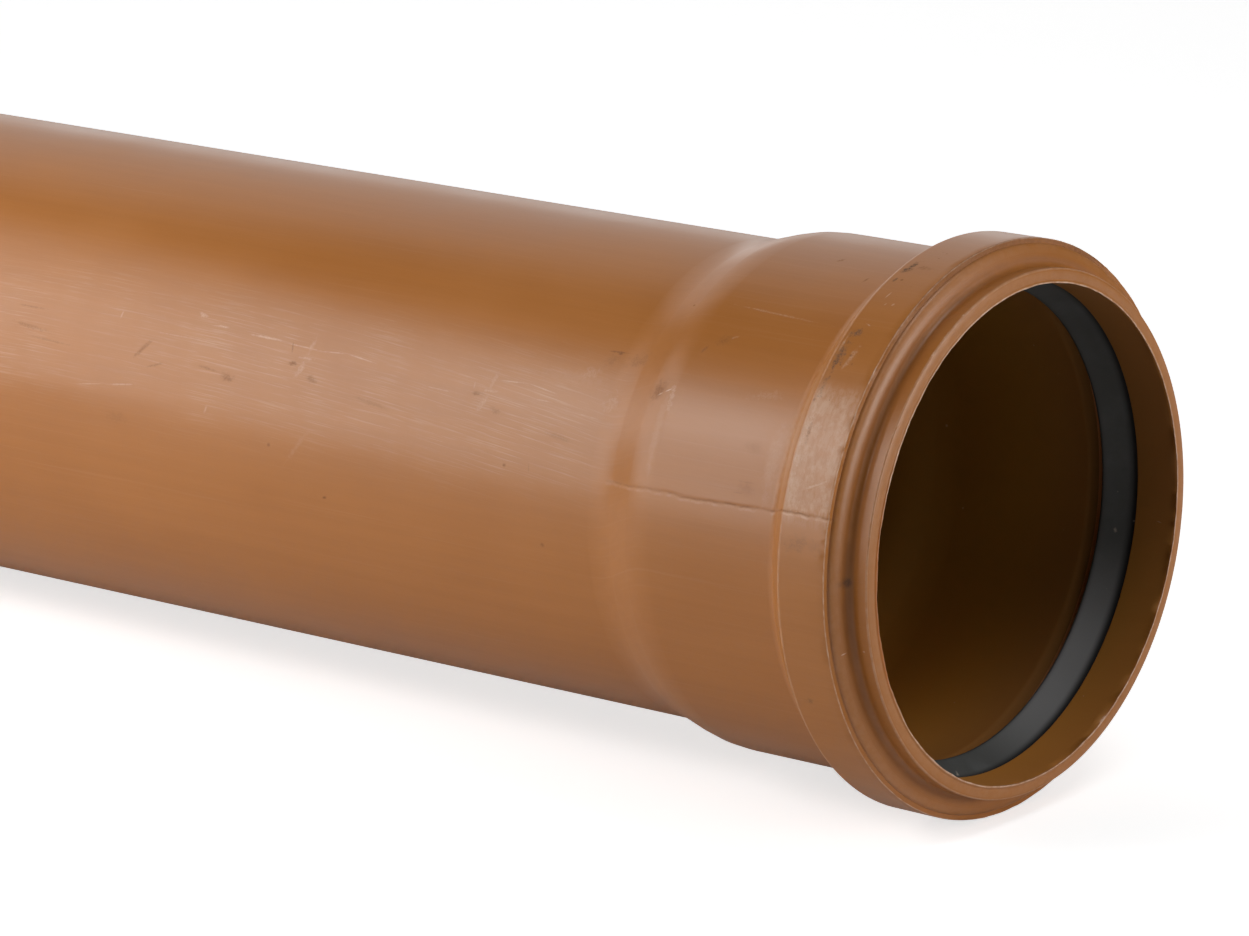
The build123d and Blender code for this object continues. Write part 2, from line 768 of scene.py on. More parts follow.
# The photograph's marks, with the values of each in the order that Mark names them.
PALE_MARKS = tuple(Mark(*values) for values in (
    # Long thin scratches.
    (98.7, 59.5, 11, 0.47, -8, 0.54, 0.25), (107.5, 59.1, 11, 0.47, 3, 0.50, 0.3),
    (152.5, 60.2, 11, 0.47, -6, 0.54, 0.25), (160.5, 60.0, 9, 0.42, 4, 0.43, 0.3),
    (170, 60.0, 13, 0.42, -2, 0.47, 0.35), (181, 59.4, 13, 0.77, -1, 0.61, 0.3),
    (195.5, 58.7, 6, 0.77, 1, 0.58, 0.4), (202.5, 56.7, 4, 1.3, -8, 0.43, 0.5),
    (128, 64.0, 14, 0.42, -2, 0.36, 0.4), (98, 62.2, 9, 0.42, 0, 0.36, 0.4),
    (85, 63.9, 9, 0.51, -4, 0.36, 0.4), (205, 62.9, 26, 0.42, 0, 0.29, 0.4),
    (222, 77.0, 10, 0.51, 8, 0.54, 0.3), (232.5, 78.4, 10, 0.42, 8, 0.50, 0.3),
    (45, 32.9, 25, 0.6, -3, 0.28, 0.6),
    # Scuffs, one group of which is there twice.
    (113, 59.5, 6, 1.6, 75, 0.29, 0.5), (114.5, 65.5, 5, 2.0, 60, 0.32, 0.6),
    (113.5, 62.2, 6, 0.85, 0, 0.40, 0.5), (167.5, 59.5, 6, 1.6, 75, 0.29, 0.5),
    (169, 65.5, 5, 2.0, 60, 0.32, 0.6), (168, 62.6, 6, 0.85, 0, 0.40, 0.5),
    (118, 61.6, 2.6, 0.59, 100, 0.36, 0.4), (195.2, 79.2, 2.6, 0.85, 70, 0.43, 0.4),
    (226.7, 60.2, 2.6, 0.68, 80, 0.43, 0.3), (166, 83, 15, 1.6, 52, 0.14, 0.5),
    (88, 54, 8, 3.4, 20, 0.22, 0.6), (92, 55.5, 30, 5, 0, 0.12, 0.3),
    (79, 60, 6, 5.0, 70, 0.2, 0.8),
    # The worn edge where the flare starts, with a gouge in it.
    (60.7, 57, 8, 1.8, 95, 0.36, 0.7), (61.8, 65, 24, 2.6, 90, 0.16, 0.35),
    (62.2, 55.6, 2.2, 0.42, 28, 1.0, 0.1), (64.2, 56.7, 1.8, 0.42, 28, 1.0, 0.1),
    (29.2, 67, 19, 4.4, 90, 0.2, 0.4), (23.6, 62, 44, 6.4, 90, 0.42, 0.3),
    (36, 53, 12, 2.4, 10, 0.14, 0.8), (51.4, 40.8, 2.2, 0.7, 30, 0.4, 0.6),
    # The edge of the lip and the band.
    (0.9, 24, 1.1, 0.7, 90, 0.8, 0.2), (0.8, 31.5, 4, 0.5, 90, 0.6, 0.7),
    (0.8, 36.5, 4, 0.6, 90, 0.7, 0.7), (18.2, 58, 16, 2.0, 90, 0.6, 0.7),
    (18.6, 67, 9, 1.6, 90, 0.6, 0.6), (10.5, 57, 9, 2.2, 90, 0.35, 0.7),
    (12.7, 70.1, 11, 0.8, 24, 0.6, 0.4), (16.4, 27.6, 2.6, 0.4, 80, 0.6, 0.3),
    (13.4, 30, 1.0, 0.6, 60, 0.6, 0.3), (15.3, 30.2, 0.8, 0.5, 60, 0.6, 0.3),
    (15.5, 36, 1.8, 0.4, -20, 0.5, 0.4), (15, 43.5, 7, 1.6, 80, 0.35, 0.8),
    (19, 41, 7, 0.7, 88, 0.5, 0.7), (2.6, 103.5, 0.8, 0.5, 0, 0.7, 0.2),
    (6.0, 103.4, 0.5, 0.4, 0, 0.9, 0.1), (4.5, -99.7, 1.6, 0.3, 10, 0.5, 0.2, Side.INSIDE),
    (13.8, 170.8, 2.2, 0.9, 40, 0.9, 0.6, Side.RUBBER),
    (13.4, 167.0, 1.2, 0.6, 10, 0.8, 0.5, Side.RUBBER),
    (15.4, -103.4, 1.3, 0.9, 70, 0.8, 0.4, Side.RUBBER),
))

DARK_MARKS = tuple(Mark(*values) for values in (
    (116.5, 63.4, 3.4, 1.2, 5, 0.59, 0.5), (110.2, 66.6, 3.6, 2.0, -20, 0.42, 0.5),
    (171.8, 64.4, 3.4, 1.2, 5, 0.65, 0.5), (164.8, 67.4, 4.0, 2.0, -20, 0.45, 0.5),
    (173, 60.6, 3.4, 0.6, 105, 0.52, 0.4), (190, 70.6, 5, 2.4, -10, 0.55, 0.6),
    (196, 69.4, 9, 0.7, -6, 0.39, 0.6), (175, 84.6, 1.3, 1.2, 0, 0.72, 0.2),
    (158.2, 94.8, 1.6, 0.8, 15, 0.8, 0.1), (105, 78.5, 1.3, 1.1, 0, 0.65, 0.3),
    (93.6, 95.6, 1.4, 1.2, 0, 0.52, 0.3), (82.5, 47.4, 6.0, 0.6, 2, 0.72, 0.5),
    (82.0, 47.7, 1.6, 0.9, 0, 0.8, 0.2), (83.5, 50, 5, 3.2, 30, 0.33, 0.6),
    (217.5, 67.6, 7.5, 1.3, 45, 0.52, 0.5), (213, 71, 7, 0.8, 16, 0.45, 0.5),
    (255, 62.4, 11, 0.6, 0, 0.45, 0.5), (254, 67.2, 14, 1.2, -5, 0.39, 0.6),
    (246, 69.8, 16, 0.6, -2, 0.33, 0.5), (223, 85, 8, 3.0, 0, 0.18, 0.5),
    (146, 70.2, 12, 1.2, -8, 0.29, 0.5), (91, 69.8, 9, 1.6, -8, 0.26, 0.5),
    (98, 78, 3, 0.6, 100, 0.33, 0.4),
    # The socket and the flare.
    (65, 56, 6, 5.0, 70, 0.55, 0.5), (76, 49, 8, 4.0, 20, 0.33, 0.6),
    (54, 42.3, 5, 3.0, 25, 0.33, 0.7), (57.6, 45, 3, 0.9, 60, 0.52, 0.4),
    (43.5, 11, 2.4, 1.2, 60, 0.45, 0.4), (31.7, 17.5, 2.4, 0.8, 80, 0.45, 0.4),
    (68.5, 33.3, 1.0, 0.8, 0, 0.65, 0.2), (35, 64.6, 6, 3.4, 0, 0.16, 0.4),
    (34.6, 73.2, 5.6, 3.6, 0, 0.21, 0.4),
    # The band, its step and the flash on its top edge.
    (7.62, 12, 110, 0.9, 90, 0.5, 0.3), (7.7, -27, 26, 1.1, 90, 0.7, 0.5),
    (18.2, 45, 9, 1.6, 88, 0.52, 0.8), (17.8, 60.5, 5, 1.2, 90, 0.52, 0.85),
    (14.2, 17.8, 4, 1.6, 0, 0.33, 0.8), (34.7, 71.9, 5, 0.6, 0, 0.33, 0.5),
    (36.4, 74.4, 3, 0.5, 0, 0.29, 0.5),
))

GRIME_MARKS = tuple(Mark(*values) for values in (
    (17.6, 17.2, 3.4, 1.8, 78, 0.75, 0.7), (17.9, 19.2, 3.0, 2.4, 60, 0.8, 0.7),
    (18.2, 22.8, 1.6, 0.9, 80, 0.7, 0.5), (17.6, 38.3, 4.4, 2.4, 40, 0.7, 0.75),
    (18.2, 44, 8, 2.6, 86, 0.6, 0.8), (18.6, 51, 6, 1.4, 88, 0.4, 0.85),
    (24.6, 9.5, 10, 2.0, 112, 0.6, 0.6), (15.4, 81.5, 6.5, 4.2, 20, 0.22, 0.7),
    (10.5, 81.5, 4, 4.0, 0, 0.15, 0.7), (15.8, 114.4, 3.2, 1.8, 10, 0.35, 0.6),
    (5.3, 88.6, 1.7, 2.8, 0, 0.62, 0.3),
))


@dataclass(frozen=True)
class Specks:
    """Specks of dust or dirt.

    Attributes:
        spacing: Mean distance between them, in millimetres.
        size: Their size, as a share of the spacing.
        amount: Share of the places that hold one.
        strength: How clearly they show, from 0 to 1.
    """

    spacing: float
    size: float
    amount: float
    strength: float = 1.0


class Effects:
    """Node groups that both finishes use: where a point is, and what has happened to it."""

    def __init__(self, axis: Axis) -> None:
        """Builds the groups.

        Args:
            axis: The pipe's axis.
        """
        self.place = self._place(axis)
        self.scratches = self._scratches()
        self.mark = self._mark()
        self.specks = self._specks()

    def _place(self, axis: Axis) -> bpy.types.NodeTree:
        """Builds the group that gives a point's station, angle and radius.

        Args:
            axis: The pipe's axis.

        Returns:
            The group. Lengths are in millimetres and the angle is in degrees.
        """
        number = Kind.NUMBER
        sheet = Group("place on pipe", "ShaderNodeTree", {}, {
            "Station": number, "Angle": number, "Radius": number, "Place": Kind.VECTOR})
        from_mouth = sheet.vector("SUBTRACT", sheet.out("ShaderNodeTexCoord", output="Object"),
                                  tuple(axis.mouth))
        level = sheet.out("ShaderNodeVectorRotate", {"Vector": from_mouth, "Angle": axis.rise},
                          rotation_type="Y_AXIS")
        x, y, z = sheet.split(level)
        return sheet.finish(
            Station=x * (-1 / MM),
            Angle=sheet.math("DEGREES", sheet.math("ARCTAN2", y * -1, z)),
            Radius=sheet.math("SQRT", y * y + z * z) / MM,
            Place=sheet.out("ShaderNodeVectorMath", {0: level, "Scale": 1 / MM}, operation="SCALE"),
        )

    def _scratches(self) -> bpy.types.NodeTree:
        """Builds the group that draws fine scratches in one main direction.

        Returns:
            The group. Its mask is 1 in a scratch and 0 beside it.
        """
        sheet = Group("fine scratches", "ShaderNodeTree", {
            "Along": 0.0, "Across": 0.0, "Slant": 0.0, "Bend": 0.0, "Length": 40.0, "Width": 0.4,
            "Amount": 0.5, "Seed": 0.0}, {"Mask": Kind.NUMBER})
        along, across, slant, bend, length, width, amount, seed = sheet.given.values()
        leaned = across + along * (slant + along * bend)
        bent = leaned + sheet.noise(sheet.combine(along / 30.0), 1.0, 1, 0.5, seed)
        fine = sheet.noise(sheet.combine(along / length, bent / width), 1.0, 3, 0.65, seed)
        limit = sheet.ramp(amount, 0.0, 1.0, 0.72, 0.44, smooth=False)
        return sheet.finish(Mask=sheet.ramp(fine, limit, limit + 0.16, smooth=False))

    def _mark(self) -> bpy.types.NodeTree:
        """Builds the group that places one soft mark on the surface.

        Returns:
            The group. Its mask is 1 in the mark and 0 away from it.
        """
        sheet = Group("one mark", "ShaderNodeTree", {
            "Station": 0.0, "Angle": 0.0, "Radius": 55.0, "At Station": 0.0, "At Angle": 0.0,
            "Turn": 0.0, "Length": 5.0, "Width": 1.0, "Ragged": 0.5, "Wander": 0.5, "Grain": 0.5,
        }, {"Mask": Kind.NUMBER})
        given = sheet.given
        along = given["Station"] - given["At Station"]
        around = sheet.math("RADIANS", given["Angle"] - given["At Angle"]) * given["Radius"]
        turn = sheet.math("RADIANS", given["Turn"])
        cosine, sine = sheet.math("COSINE", turn), sheet.math("SINE", turn)
        u = (along * cosine + around * sine) / given["Length"]
        v = (around * cosine - along * sine) / given["Width"]
        wobble = (given["Wander"] - 0.5) * (given["Ragged"] * 4.0)
        edge = sheet.math("SQRT", u * u + v * v) * 2 + wobble
        soft = sheet.ramp(edge, 0.1, 1.15, 1.0, 0.0)
        gaps = sheet.ramp(given["Grain"], 0.38, 0.6, 1.0 - given["Ragged"], 1.0)
        return sheet.finish(Mask=soft * gaps)

    def _specks(self) -> bpy.types.NodeTree:
        """Builds the group that scatters small specks of dust or dirt.

        Returns:
            The group. Its mask is 1 in a speck and 0 beside it.
        """
        sheet = Group("specks", "ShaderNodeTree", {
            "Place": Kind.VECTOR, "Spacing": 4.0, "Size": 0.1, "Amount": 0.4},
            {"Mask": Kind.NUMBER})
        place, spacing, size, amount = sheet.given.values()
        cells = sheet.outs("ShaderNodeTexVoronoi",
                           {"Vector": place, "Scale": sheet.math("DIVIDE", 1.0, spacing)},
                           feature="F1", voronoi_dimensions="3D")
        pick = sheet.outs("ShaderNodeSeparateColor", (cells["Color"],))
        size = size * sheet.ramp(pick["Green"], 0, 1, 0.4, 1.6, smooth=False)
        dot = sheet.ramp(cells["Distance"], size * 0.5, size, 1.0, 0.0)
        return sheet.finish(Mask=dot * (pick["Red"] < amount))

    def marks(self, sheet: Sheet, marks: tuple[Mark, ...], side: Side,
              where: dict[str, Signal]) -> Signal:
        """Places the marks of a list that belong to one surface.

        Args:
            sheet: The material's sheet.
            marks: The marks.
            side: The surface.
            where: Outputs of the group that gives a point's place.

        Returns:
            The strongest mask at each point.
        """
        wander = sheet.noise(where["Place"], 0.9, 3, 0.6, 17.0)
        grain = sheet.noise(where["Place"], 2.4, 3, 0.65, 23.0)
        masks: list[object] = [0.0]
        for mark in (mark for mark in marks if mark.side is side):
            made = sheet.group(self.mark, (
                where["Station"], where["Angle"], where["Radius"], mark.station, mark.angle,
                mark.turn, mark.length, mark.width, mark.ragged, wander, grain))
            masks.append(made["Mask"] * mark.strength)
        return sheet.most(*masks)

    def scratch(self, sheet: Sheet, where: dict[str, Signal], kind: Scratches) -> Signal:
        """Places fine scratches.

        Args:
            sheet: The material's sheet.
            where: Outputs of the group that gives a point's place.
            kind: What the scratches are like.

        Returns:
            The mask.
        """
        around = sheet.math("RADIANS", where["Angle"]) * where["Radius"]
        made = sheet.group(self.scratches, (where["Station"], around, kind.slant, kind.bend,
                                            kind.length, kind.width, kind.amount, kind.seed))
        return made["Mask"] * kind.strength

    def speckle(self, sheet: Sheet, place: Signal, kind: Specks) -> Signal:
        """Scatters specks.

        Args:
            sheet: The material's sheet.
            place: A point's place, in millimetres.
            kind: What the specks are like.

        Returns:
            The mask.
        """
        made = sheet.group(self.specks, (place, kind.spacing, kind.size, kind.amount))
        return made["Mask"] * kind.strength


@dataclass(frozen=True)
class OrangePlastic:
    """Semi-gloss orange-brown plastic, finely scratched where the pipe has been handled.

    Attributes:
        colour: Main colour.
        deep: Colour of its darker clouds.
        chalk: Colour of scratched and rubbed plastic.
        dirt: Colour of dirt, also laid on as painted shade and a painted shadow.
        grime: Colour of grey grime.
        inner: Colour of the inside, darker than the outside as painted shade.
        lit_lower: Colour of the inside's bottom, lighter as painted light from above.
        edge: Colour of the bright trimmed edge.
        roughness: Roughness where it is clean.
        gloss: Strength of its reflections.
        fine: The finest scratches.
        broad: Broader scratches among them.
        stray: Scratches that cross them.
        drawn: Long lines left when the pipe was drawn.
        handled: The side that handling has rubbed.
        worn_band: The rubbed part of the band.
        soiled: The part of the band that holds grains of dirt.
        shaded_land_top: The top of the narrow land in front of the seal, darkened as painted shade.
        rubbing: How handling has rubbed the plastic.
        worn: Streaks of wear on the band.
        blotches: Blotches of wear on the band.
        edge_wear: How the corners are rubbed.
        root_shade: Patches of painted shade in the crease at the lip's root.
        seam_unevenness: Unevenness of the seam's dark and pale lines.
        dust: Specks of dust inside.
        grains: Grains of dirt on the band.
    """

    colour: Colour = (0.424, 0.157, 0.033, 1.0)
    deep: Colour = (0.372, 0.133, 0.026, 1.0)
    grime: Colour = (0.045, 0.038, 0.030, 1.0)
    inner: Colour = (0.25, 0.115, 0.011, 1.0)
    lit_lower: Colour = (0.47, 0.192, 0.024, 1.0)
    edge: Colour = (0.45, 0.13, 0.012, 1.0)
    chalk: Colour = (0.68, 0.47, 0.34, 1.0)
    dirt: Colour = (0.15, 0.047, 0.005, 1.0)
    roughness: float = 0.33
    gloss: float = 0.48
    fine: Scratches = Scratches(17.0, 0.42, 0.8, 0.3)
    broad: Scratches = Scratches(38.0, 1.5, 0.7, 0.15, seed=11.0)
    stray: Scratches = Scratches(16.0, 0.5, 0.45, 0.22, 0.03, 0.0, 8.0)
    drawn: Scratches = Scratches(90.0, 0.7, 0.55, 0.06, 0.0, 0.0, 21.0)
    handled: Zone = Zone((80, 330, 26), (51, 82, 16))
    worn_band: Zone = Zone((8.0, 19.8, 0.8), (51, 77, 5))
    soiled: Zone = Zone((14, 20.5, 4), (8, 62, 8))
    shaded_land_top: Zone = Zone((0.8, 14.0, 0.6), (-95, 60, 60))
    rubbing: Patches = Patches(0.05, 4, 0.6, 9.0, 0.33, 0.67, 0.2, 1.0)
    worn: Patches = Patches(1.0, 5, 0.7, 4.0, 0.38, 0.62, 0.04, 0.26)
    blotches: Patches = Patches(0.45, 5, 0.7, 27.0, 0.44, 0.6, 0.0, 0.2)
    edge_wear: Patches = Patches(0.5, 4, 0.6, 6.0, 0.35, 0.65, 0.35, 1.0)
    root_shade: Patches = Patches(0.12, 3, 0.6, 12.0, 0.35, 0.6, 0.05, 0.2)
    seam_unevenness: Patches = Patches(0.35, 3, 0.65, 14.0, 0.4, 0.6, 0.2, 1.0)
    dust: Specks = Specks(5.0, 0.05, 0.35, 0.35)
    grains: Specks = Specks(1.3, 0.24, 0.3)

    def make(self, effects: Effects) -> bpy.types.Material:
        """Builds the material.

        Args:
            effects: The shared node groups.

        Returns:
            The material.
        """
        material, sheet, surface = new_material("orange_plastic")
        where = sheet.group(effects.place)
        station, angle, radius, place = where.values()
        around = sheet.math("RADIANS", angle) * radius
        wall = sheet.ramp(station, 64.0, 77.0, 57.2, 53.4, smooth=False)
        outside = sheet.most(radius > wall, station < 0.6)
        inside = 1.0 - outside

        # Clouds and long streaks in the extruded colour.
        clouds = sheet.noise(place, 0.018, 3, 0.55, 2.0)
        streak_place = sheet.combine(station * 0.012, around * 0.35, radius)
        streaks = sheet.noise(streak_place, 1.0, 4, 0.6, 5.0)
        tone = sheet.ramp(clouds, 0.3, 0.7, 0.0, 0.6) + sheet.ramp(streaks, 0.3, 0.7, 0.0, 0.4)
        colour = sheet.blend(tone, self.deep, self.colour)
        # The inside: painted shade that deepens over the first 20 mm from the mouth, with painted
        # light on its bottom.
        turned_down = sheet.ramp(sheet.math("ABSOLUTE", angle), 112.0, 165.0)
        inner = sheet.blend(turned_down, self.inner, self.lit_lower)
        colour = sheet.blend(inside * sheet.ramp(station, 0.0, 20.0, 0.5, 1.0), colour, inner)
        trimmed = (station < 0.9) * (radius < 56.1) * sheet.window(angle, 72, 118, 20) * 0.8
        colour = sheet.blend(trimmed, colour, self.edge)

        # Handling has rubbed the upper front side and left scratches along it.
        handled = self.handled.mask(sheet, where)
        rubbed = handled * self.rubbing.mask(sheet, place)
        fine, broad, stray, drawn = (effects.scratch(sheet, where, kind) for kind in (
            self.fine, self.broad, self.stray, self.drawn))
        scratched = sheet.most((fine + broad) * (rubbed + 0.04), stray * handled, drawn)
        worn = self.worn.mask(sheet, sheet.combine(station * 0.9, around * 0.3))
        worn = worn + self.blotches.mask(sheet, place)
        band = (worn + sheet.ramp(station, 15.5, 19.0, 0.0, 0.12)) * outside
        band = band * self.worn_band.mask(sheet, where)
        wear = sheet.out("ShaderNodeAttribute", output="Fac", attribute_name="wear",
                         attribute_type="GEOMETRY")
        worn_edge = wear * self.edge_wear.mask(sheet, place) * (1.0 - trimmed)
        # The seam's dark line is dirt with painted shade; its pale line, lit, is a painted
        # highlight.
        furrow, lit = self._seam(sheet, where)
        pale = sheet.most(scratched, band, rubbed * 0.06, worn_edge, lit,
                          effects.marks(sheet, PALE_MARKS, Side.OUTSIDE, where)) * outside
        dusty = sheet.most(effects.speckle(sheet, place, self.dust),
                           effects.marks(sheet, PALE_MARKS, Side.INSIDE, where))
        pale = sheet.most(pale, dusty * inside)
        colour = sheet.blend(pale, colour, self.chalk)

        # Dirt and painted shade: named marks, grains on the band, painted shade in the lip's root,
        # dirt and painted shade in the seam, the seal's painted shadow and painted shade atop the
        # land.
        soiled = self.soiled.mask(sheet, where)
        grains = effects.speckle(sheet, place, self.grains) * (soiled * 0.45 + 0.03)
        # Painted shade in the crease at the lip's root, stronger at angles 80 to 125 degrees.
        root = sheet.window(station, 4.7, 6.0, 0.9) * sheet.window(radius, 57.6, 60.6, 1.4)
        root = root * (self.root_shade.mask(sheet, place) + sheet.window(angle, 80, 125, 20) * 0.12)
        dirt = sheet.most(grains, root, furrow,
                          effects.marks(sheet, DARK_MARKS, Side.OUTSIDE, where)) * outside
        # Painted shadow of the seal's lip on the bore behind it, fading out by 46 mm.
        seal_shadow = sheet.ramp(station, 19.0, 46.0, 0.55, 0.0) * (station > 12.0)
        # Painted shade on the top of the land in front of the seal.
        top = self.shaded_land_top.mask(sheet, where) * 0.4
        dirt = sheet.most(dirt, sheet.most(seal_shadow, top) * inside)
        colour = sheet.blend(dirt, colour, self.dirt)
        grime = effects.marks(sheet, GRIME_MARKS, Side.OUTSIDE, where) * outside
        sheet.feed(surface["Base Color"], sheet.blend(grime, colour, self.grime))

        rough = sheet.ramp(clouds, 0.3, 0.7, self.roughness - 0.03, self.roughness + 0.03)
        rough = rough + pale * 0.15 + sheet.most(dirt, grime) * 0.5 + inside * 0.25
        sheet.feed(surface["Roughness"], sheet.math("MINIMUM", rough, 0.85))
        surface["Specular IOR Level"].default_value = self.gloss

        # Height in millimetres: grain, waves and lines of the extrusion, and scratches.
        grain = sheet.noise(place, 0.9, 3, 0.55, 1.0) * 0.012
        height = grain + clouds * 0.35 + streaks * 0.02 - scratched * 0.035
        sheet.feed(surface["Normal"], sheet.bump(height, 0.8))
        return material

    def _seam(self, sheet: Sheet, where: dict[str, Signal]) -> tuple[Signal, Signal]:
        """Draws dirt and painted shade along the seam's upper side and a painted highlight below
        it.

        Args:
            sheet: The material's sheet.
            where: Outputs of the group that gives a point's place.

        Returns:
            The mask of the dark line, dirt and painted shade, and that of the pale painted
            highlight.
        """
        station = where["Station"]
        off = where["Angle"] - SEAM_ANGLE - seam_drift(sheet, station)
        across = sheet.math("RADIANS", off) * where["Radius"]
        reach = sheet.window(station, 7.4, 76, 1.5) * self.seam_unevenness.mask(sheet, where["Place"])
        dark = sheet.window(across, -0.3, 0.12, 0.4) * sheet.ramp(station, 20, 74, 0.5, 0.26)
        pale = sheet.window(across, 0.25, 0.8, 0.5) * sheet.ramp(station, 19, 23, 0.5, 0.16)
        return dark * reach, pale * reach


@dataclass(frozen=True)
class BlackRubber:
    """Smooth black rubber with a little dust on it.

    Attributes:
        colour: Main colour.
        bloom: Colour of its dull grey bloom.
        lit_lower: Colour of its lower part, a painted sheen.
        edge: Colour of its two edges, darkened as painted shade.
        dust: Colour of dust.
        roughness: Roughness where it is clean.
        edge_roughness: Roughness of the two edges.
        gloss: Strength of its reflections.
        lower: First and last angle of its lower part with the painted sheen, and how softly that
            ends.
        middle: First and last station between its edges, and how softly they start.
        specks: Specks of dust.
    """

    colour: Colour = (0.056, 0.058, 0.056, 1.0)
    bloom: Colour = (0.080, 0.083, 0.082, 1.0)
    lit_lower: Colour = (0.17, 0.172, 0.174, 1.0)
    edge: Colour = (0.014, 0.014, 0.015, 1.0)
    dust: Colour = (0.30, 0.26, 0.22, 1.0)
    roughness: float = 0.62
    edge_roughness: float = 0.9
    gloss: float = 0.3
    lower: tuple[float, float, float] = (-163, -118, 34)
    middle: tuple[float, float, float] = (12.7, 18.7, 1.9)
    specks: Specks = Specks(4.0, 0.06, 0.35, 0.4)

    def make(self, effects: Effects) -> bpy.types.Material:
        """Builds the material.

        Args:
            effects: The shared node groups.

        Returns:
            The material.
        """
        material, sheet, surface = new_material("black_rubber")
        where = sheet.group(effects.place)
        place = where["Place"]
        cloud = sheet.noise(place, 0.09, 4, 0.6, 3.0)
        colour = sheet.blend(sheet.ramp(cloud, 0.35, 0.75), self.colour, self.bloom)
        # Painted sheen on the lower part.
        colour = sheet.blend(sheet.window(where["Angle"], *self.lower), colour, self.lit_lower)
        # Painted shade at both edges: the gap at the land and the lip's tip.
        middle = sheet.window(where["Station"], *self.middle)
        colour = sheet.blend(middle, self.edge, colour)
        specks = sheet.most(effects.speckle(sheet, place, self.specks),
                            effects.marks(sheet, PALE_MARKS, Side.RUBBER, where))
        sheet.feed(surface["Base Color"], sheet.blend(specks, colour, self.dust))
        rough = sheet.ramp(cloud, 0.3, 0.7, self.roughness - 0.06, self.roughness + 0.1)
        dull = sheet.ramp(middle, 0.0, 1.0, self.edge_roughness, 0.0)
        sheet.feed(surface["Roughness"], sheet.most(rough, dull))
        surface["Specular IOR Level"].default_value = self.gloss
        height = sheet.noise(place, 1.4, 3, 0.6, 4.0) * 0.03 + cloud * 0.1
        sheet.feed(surface["Normal"], sheet.bump(height))
        return material


def along_slope(rise: float, angle: float) -> float:
    """Length along the axis in which a slope of this angle, in degrees, rises by this much."""
    return rise / tan(radians(angle))


@dataclass
class PipeSizes:
    """Sizes that the pipe and its seal share, in millimetres and degrees."""

    barrel_radius: float
    socket_bore_radius: float
    bead_radius: float
    overall_length: float
    land_length: float
    barrel_wall: float = 3.2
    socket_wall: float = 3.35
    lip_wall: float = 3.2
    lip_lean: float = 0.7
    lip_length: float = 5.6
    chamfer_length: float = 6.0
    chamfer_angle: float = 15.0
    bead_front: float = 7.6
    band_width: float = 12.5
    band_taper: float = 0.1
    band_step: float = 1.2
    flank_angle: float = 45.0
    bead_wall: float = 3.2
    flare_start: float = 63.8
    flare_angle: float = 16.4

    @classmethod
    def from_frame(cls, record: dict) -> "PipeSizes":
        """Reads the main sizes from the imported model.

        Args:
            record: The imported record.

        Returns:
            The sizes.
        """
        mounts = {m["name"]: m["dims"] for m in record["mounts"]}
        barrel, bore = mounts["spigot"]["r_mm"], mounts["socket_mouth"]["r_mm"]
        low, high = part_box("pipe")
        tilt = Axis.from_frame(record).rise
        end = barrel - cls.chamfer_length * tan(radians(cls.chamfer_angle))
        length = ((high.x - low.x) / MM - (end + bore) * sin(tilt)) / cos(tilt)
        return cls(
            barrel_radius=barrel,
            socket_bore_radius=bore,
            bead_radius=round((high.y - low.y) / 2 / MM, 2),
            overall_length=round(length, 1),
            land_length=mounts["socket_mouth"]["length_mm"],
        )

    @property
    def band_back(self) -> float:
        """Station of the band's back edge."""
        return self.bead_front + self.band_width

    @property
    def socket_radius(self) -> float:
        """Outside radius of the socket."""
        return self.socket_bore_radius + self.socket_wall

    @property
    def groove_radius(self) -> float:
        """Radius of the groove inside the bead."""
        return self.bead_radius - self.bead_wall

    def flank(self, radius: float) -> float:
        """Station of the bead's sloping back at a radius."""
        drop = self.bead_radius - self.band_taper - radius
        return self.band_back + along_slope(drop, self.flank_angle)

    def groove_flank(self, radius: float) -> float:
        """Station of the groove's back wall at a radius."""
        return self.flank(radius) - self.bead_wall / sin(radians(self.flank_angle))


